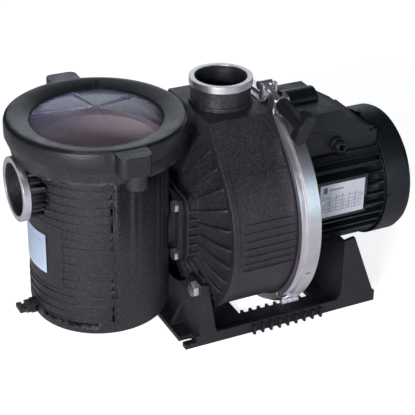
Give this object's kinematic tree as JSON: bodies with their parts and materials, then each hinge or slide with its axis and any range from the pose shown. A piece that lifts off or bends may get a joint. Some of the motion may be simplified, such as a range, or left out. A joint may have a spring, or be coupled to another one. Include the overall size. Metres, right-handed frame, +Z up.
{
  "type": "pool pump",
  "caption": "Self-priming pool pump: strainer pot with clear lid, band-clamped tank, fan-cooled motor and base.",
  "frame": {"origin": "underside of the base, below the discharge axis, on the centre plane", "axes": "+X along the motor shaft from the strainer pot to the fan cover, +Z up along the discharge axis, -Y towards the knob side"},
  "size_m": [0.4704, 0.264, 0.298],
  "materials": {
    "black_plastic": "moulded, fine texture",
    "stainless": "brushed",
    "rubber": "matte",
    "motor_paint": "satin paint",
    "dark_plastic": "semi-gloss",
    "wet_plastic": "moulded",
    "bearing_steel": "ground",
    "lamination": "varnished",
    "copper": "enamelled wire",
    "brass": "turned",
    "ceramic": "lapped",
    "carbon": "lapped",
    "terminal_plastic": "moulded",
    "capacitor_case": "drawn",
    "nameplate_metal": "printed",
    "label_film": "printed film",
    "basket_plastic": "moulded",
    "clear_lid": "clear"
  },
  "bodies": {
    "pump": {"base": "black_plastic", "base_bolts": "stainless", "strainer_pot": "black_plastic", "suction_ring": "stainless", "pot_gasket": "rubber", "pot_bolts": "stainless", "tank_body": "black_plastic", "discharge_ring": "stainless", "diffuser": "wet_plastic", "seal_plate": "black_plastic", "seal_plate_oring": "rubber", "seal_seat": "ceramic", "clamp_rear": "stainless", "clamp_bottom": "stainless", "clamp_pins": "stainless", "clamp_tbolt": "stainless", "motor_adapter": "motor_paint", "adapter_screws": "stainless", "motor_frame": "motor_paint", "stator_core": "lamination", "stator_windings": "copper", "front_bearing": "bearing_steel", "rear_bearing": "bearing_steel", "wave_washer": "stainless", "rear_shield": "motor_paint", "tie_rods": "stainless", "fan_cover": "dark_plastic", "cover_screws": "stainless", "motor_pad": "rubber", "terminal_box": "dark_plastic", "terminal_gasket": "rubber", "terminal_lid": "dark_plastic", "terminal_screws": "stainless", "terminal_block": "terminal_plastic", "capacitor": "capacitor_case", "cable_gland": "dark_plastic", "nameplate": "nameplate_metal", "nameplate_rivets": "stainless", "pot_label": "label_film", "lid_oring": "rubber"},
    "rotor_set": {"shaft": "bearing_steel", "rotor": "lamination", "impeller": "wet_plastic", "impeller_nut": "brass", "seal_head": "carbon", "slinger": "rubber", "fan": "dark_plastic", "fan_key": "stainless"},
    "clamp_front": {"clamp_front": "stainless"},
    "knob_washer": {"knob_washer": "stainless"},
    "clamp_knob": {"clamp_knob": "dark_plastic"},
    "basket": {"basket": "basket_plastic"},
    "lid": {"lid": "clear_lid"},
    "lock_ring": {"lock_ring": "black_plastic"},
    "drain_oring": {"drain_oring": "rubber"},
    "drain_plug": {"drain_plug": "black_plastic"},
    "tank_drain_oring": {"tank_drain_oring": "rubber"},
    "tank_drain_plug": {"tank_drain_plug": "black_plastic"}
  },
  "joints": [
    {"name": "rotor_spin", "type": "hinge", "parent": "pump", "child": "rotor_set", "pos_m": [0.1, 0, 0.14], "axis": [1, 0, 0], "continuous": true},
    {"name": "knob_washer_slide", "type": "slide", "parent": "pump", "child": "knob_washer", "axis": [0, -0.9816, -0.1908], "range_m": [0, 0.01]},
    {"name": "clamp_knob_turn", "type": "hinge", "parent": "knob_washer", "child": "clamp_knob", "pos_m": [0.0511, -0.045, 0.275], "axis": [0, -0.9816, -0.1908], "range_deg": [0, 2880.5]},
    {"name": "clamp_front_open", "type": "hinge", "parent": "pump", "child": "clamp_front", "pos_m": [0.0511, -0.08892, 0.03949], "axis": [1, 0, 0], "range_deg": [0, 2.7]},
    {"name": "basket_lift", "type": "slide", "parent": "pump", "child": "basket", "axis": [0, 0, 1], "range_m": [0, 0.2]},
    {"name": "lid_lift", "type": "slide", "parent": "basket", "child": "lid", "axis": [0, 0, 1], "range_m": [0, 0.12]},
    {"name": "lock_ring_turn", "type": "hinge", "parent": "lid", "child": "lock_ring", "pos_m": [-0.15, 0, 0.265], "axis": [0, 0, 1], "range_deg": [0, 60]},
    {"name": "drain_oring_slide", "type": "slide", "parent": "pump", "child": "drain_oring", "axis": [-1, 0, 0], "range_m": [0, 0.01]},
    {"name": "drain_plug_turn", "type": "hinge", "parent": "drain_oring", "child": "drain_plug", "pos_m": [-0.235, 0, 0.057], "axis": [-1, 0, 0], "range_deg": [0, 1800.5]},
    {"name": "tank_drain_oring_slide", "type": "slide", "parent": "pump", "child": "tank_drain_oring", "axis": [0, 1, 0], "range_m": [0, 0.01]},
    {"name": "tank_drain_plug_turn", "type": "hinge", "parent": "tank_drain_oring", "child": "tank_drain_plug", "pos_m": [-0.01, 0.096, 0.056], "axis": [0, 1, 0], "range_deg": [0, 1800.5]}
  ],
  "couplings": [
    {"joint": "clamp_knob_turn", "follows": "knob_washer_slide", "rad_per_m": 5026.5},
    {"joint": "clamp_front_open", "follows": "knob_washer_slide", "rad_per_m": 4.49},
    {"joint": "drain_plug_turn", "follows": "drain_oring_slide", "rad_per_m": 3141.6},
    {"joint": "tank_drain_plug_turn", "follows": "tank_drain_oring_slide", "rad_per_m": 3141.6}
  ]
}
